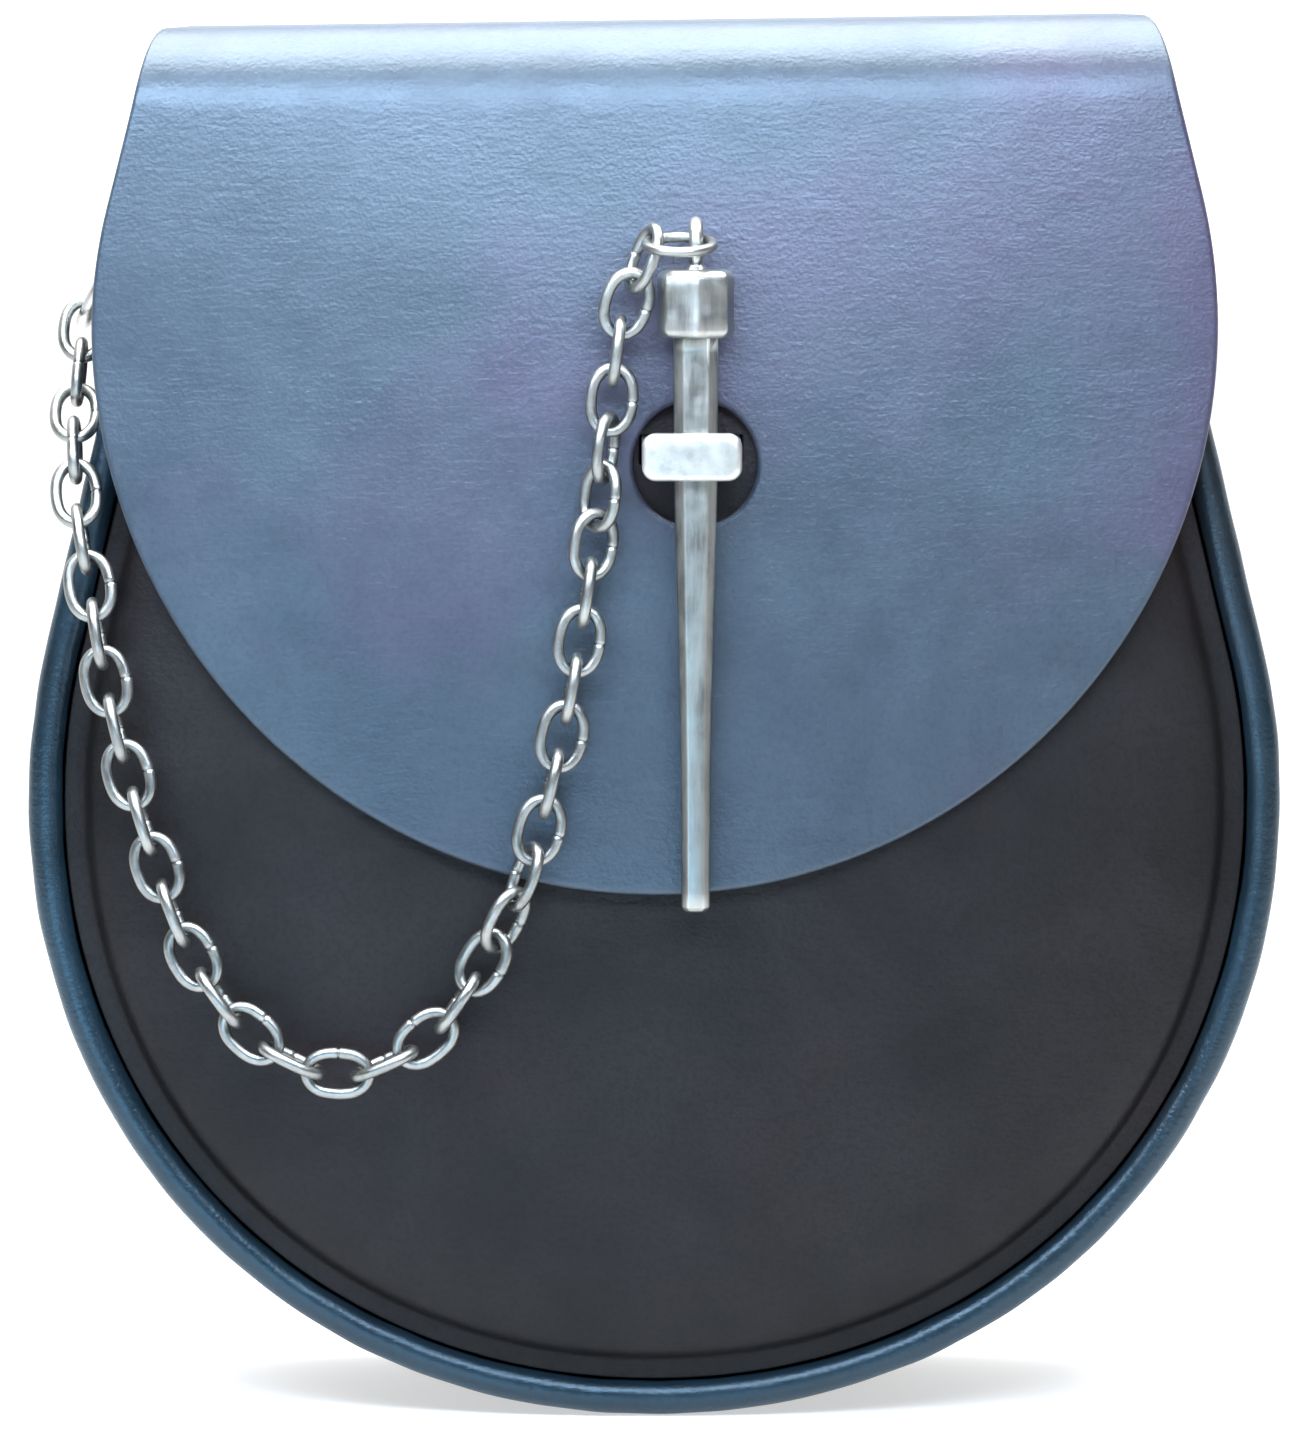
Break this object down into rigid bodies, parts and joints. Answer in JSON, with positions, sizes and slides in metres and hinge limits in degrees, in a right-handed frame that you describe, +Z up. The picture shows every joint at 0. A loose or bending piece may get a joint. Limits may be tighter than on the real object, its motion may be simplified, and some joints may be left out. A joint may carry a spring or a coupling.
{
  "type": "sporran pouch",
  "caption": "Round leather sporran pouch with a piped front, fold-over flap, tapered pin in a keeper and a safety chain.",
  "frame": {"origin": "midway between the two hanging rings at the pouch's upper sides", "axes": "+X to the right of the front as seen, -Y out of the front, +Z up"},
  "size_m": [0.1846, 0.0555, 0.2066],
  "materials": {
    "flap_leather": "smooth satin",
    "body_leather": "fine grain, matt",
    "piping_leather": "polished",
    "pewter": "antique satin"
  },
  "bodies": {
    "root": {"back_and_flap": "flap_leather", "piping": "piping_leather", "front_panel": "body_leather", "gusset": "body_leather", "ring_tab_left": "body_leather", "ring_tab_right": "body_leather", "pin": "pewter", "pin_ring": "pewter", "keeper": "pewter", "ring_left": "pewter", "ring_right": "pewter", "link_01": "pewter", "link_02": "pewter", "link_03": "pewter", "link_04": "pewter", "link_05": "pewter", "link_06": "pewter", "link_07": "pewter", "link_08": "pewter", "link_09": "pewter", "link_10": "pewter", "link_11": "pewter", "link_12": "pewter", "link_13": "pewter", "link_14": "pewter", "link_15": "pewter", "link_16": "pewter", "link_17": "pewter", "link_18": "pewter", "link_19": "pewter", "link_20": "pewter", "link_21": "pewter", "link_22": "pewter", "link_23": "pewter", "link_24": "pewter", "link_25": "pewter", "link_26": "pewter", "link_27": "pewter", "link_28": "pewter", "link_29": "pewter", "link_30": "pewter", "link_31": "pewter", "link_32": "pewter", "link_33": "pewter", "link_34": "pewter", "link_35": "pewter", "link_36": "pewter", "link_37": "pewter", "link_38": "pewter"}
  },
  "joints": []
}
